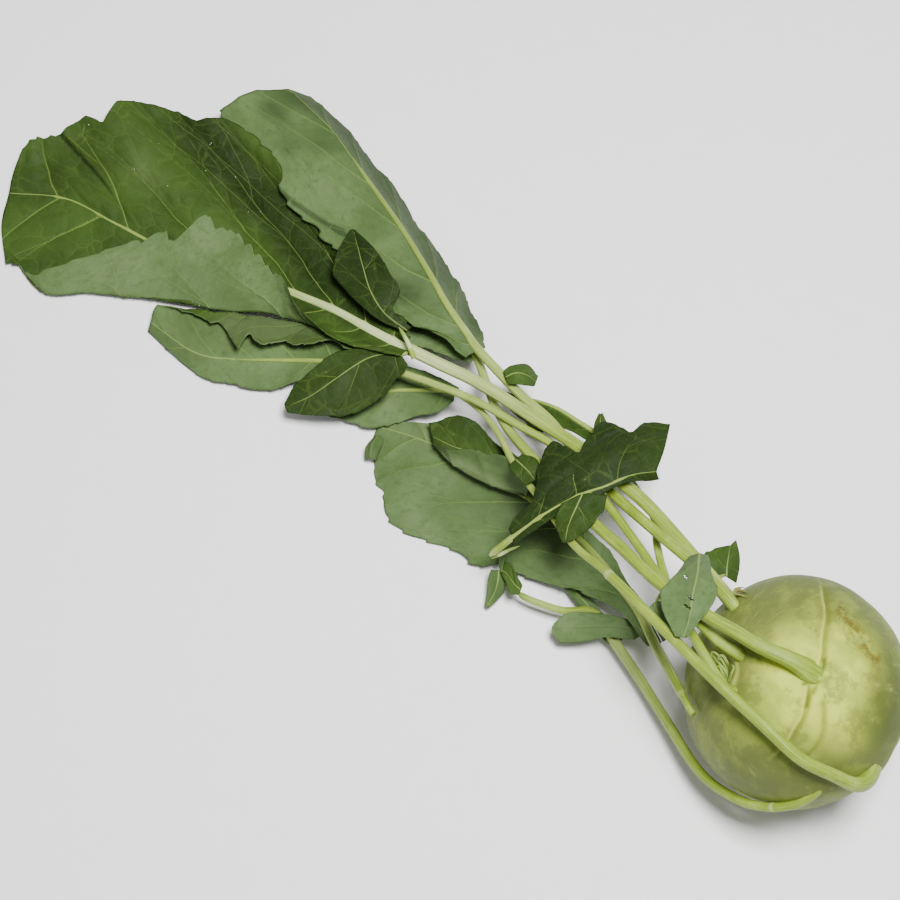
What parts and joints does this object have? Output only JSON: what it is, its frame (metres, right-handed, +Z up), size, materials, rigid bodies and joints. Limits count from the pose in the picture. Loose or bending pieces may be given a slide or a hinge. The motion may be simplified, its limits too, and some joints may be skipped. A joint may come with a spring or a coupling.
{
  "type": "kohlrabi with leaves",
  "caption": "Pale green kohlrabi lying on its side as picked: a round swollen stem with long stalks that fan out into broad folded leaves.",
  "frame": {"origin": "centre of the small flat spot that the bulb rests on, at table height", "axes": "+X along the trailing leaves, from the bulb towards the leaf tips; +Y across the leaves, towards the side where the crown leans; +Z up from the table"},
  "size_m": [0.4359, 0.1781, 0.0877],
  "materials": {
    "bulb_skin": "pale yellow-green vegetable skin with a waxy bloom, satin",
    "stalk_skin": "pale green ribbed leaf stalk, waxy",
    "pale_midrib": "whitish green midrib and stalk, waxy",
    "leaf_upper": "dark green upper side of a leaf with paler veins",
    "leaf_under": "grey-green underside of a leaf with raised veins, matt",
    "young_leaf": "young green shoots at the crown",
    "cut_root": "dry corky root end"
  },
  "bodies": {
    "root": {"bulb": "bulb_skin", "root_stub": "cut_root", "crown_bud": "young_leaf", "leaf_1_stalk": "pale_midrib", "leaf_1_blade": "leaf_upper", "leaf_2_stalk": "stalk_skin", "leaf_2_blade": "leaf_under", "leaf_3_stalk": "stalk_skin", "leaf_3_blade": "leaf_under", "leaf_4_stalk": "stalk_skin", "leaf_4_blade": "leaf_under", "leaf_5_stalk": "stalk_skin", "leaf_5_blade": "leaf_under", "leaf_6_stalk": "stalk_skin", "leaf_6_blade": "leaf_under", "leaf_7_stalk": "stalk_skin", "leaf_7_blade": "leaf_under", "leaf_8_stalk": "stalk_skin", "leaf_8_blade": "leaf_upper", "broken_leaf_stalk": "stalk_skin", "broken_leaf_blade": "leaf_upper", "leaf_7_branch": "stalk_skin", "leaf_7_leaflet": "leaf_under", "leaf_6_leaflet": "leaf_upper", "leaf_5_leaflet": "leaf_upper", "leaf_1_near_lobe": "leaf_upper", "leaf_1_far_lobe": "leaf_upper", "leaf_8_leaflet": "leaf_upper", "leaf_3_leaflet": "leaf_upper", "leaf_2_leaflet": "leaf_upper", "leaf_4_under_leaflet": "leaf_under", "leaf_4_leaflet": "leaf_under"}
  },
  "joints": []
}
